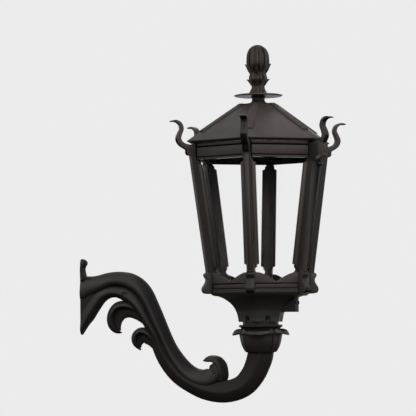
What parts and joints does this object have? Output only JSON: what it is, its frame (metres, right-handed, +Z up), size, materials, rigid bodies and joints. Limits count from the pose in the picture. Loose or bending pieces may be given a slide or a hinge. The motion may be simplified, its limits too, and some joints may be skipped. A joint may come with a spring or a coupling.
{
  "type": "street lamp post lantern on bracket",
  "caption": "Hexagonal glazed street lantern with crowned horns, hinged roof and leaf finial, swivelling on the tenon of a cast scroll wall bracket.",
  "frame": {"origin": "centre of the bracket's flat wall face", "axes": "+X out from the wall to the lantern, +Y to the right when facing the wall, +Z up"},
  "size_m": [0.637, 0.4462, 0.8602],
  "materials": {
    "dark_paint": "satin powder coat",
    "zinc": "galvanised",
    "dark_steel": "blackened steel",
    "pale_plastic": "moulded",
    "clear_glass": "clear",
    "rubber": "matt",
    "pale_metal": "white enamel",
    "bare_aluminium": "die cast",
    "board": "white solder mask",
    "opal": "opal diffuser",
    "driver_case": "plain"
  },
  "bodies": {
    "bracket": {"wall_foot": "dark_paint", "bracket_arm": "dark_paint", "arch_leaf": "dark_paint", "hanging_leaf": "dark_paint", "volute": "dark_paint", "capital_cup": "dark_paint", "capital_leaves": "dark_paint", "capital_rim": "dark_paint", "tenon": "zinc"},
    "lantern": {"neck_bell": "dark_paint", "set_screws": "dark_steel", "wiring_box": "dark_paint", "box_cover": "dark_paint", "cover_screws": "dark_steel", "terminal_block": "pale_plastic", "bottom_plate": "dark_paint", "bottom_rail": "dark_paint", "gallery": "dark_paint", "corner_feet": "dark_paint", "corner_posts": "dark_paint", "glass_strips": "dark_paint", "glass_panes": "clear_glass", "rim_frieze": "dark_paint", "rim_gasket": "rubber", "horns": "dark_paint", "latch_housing": "dark_paint", "hinge_bracket": "dark_steel", "hinge_pin": "dark_steel"},
    "roof": {"roof_shell": "dark_paint", "hip_caps": "dark_paint", "catch_lug": "dark_paint", "hinge_leaf": "dark_steel", "finial_stem": "dark_paint", "finial_disc": "dark_paint", "finial_bulb": "dark_paint", "finial_leaves": "dark_paint", "gear_tray": "pale_metal", "heat_sink": "bare_aluminium", "led_board": "board", "led_lens": "opal", "led_driver": "driver_case"},
    "latch": {"latch_screw": "dark_steel"}
  },
  "joints": [
    {"name": "lantern_swivel", "type": "hinge", "parent": "bracket", "child": "lantern", "pos_m": [0.44, 0, 0], "axis": [0, 0, 1], "continuous": true},
    {"name": "roof_hinge", "type": "hinge", "parent": "lantern", "child": "roof", "pos_m": [0.3575, 0.14289, 0.357], "axis": [-0.866, -0.5, 0], "range_deg": [0, 62]},
    {"name": "latch_draw", "type": "slide", "parent": "lantern", "child": "latch", "axis": [0, 0, -1], "range_m": [0, 0.01]}
  ]
}
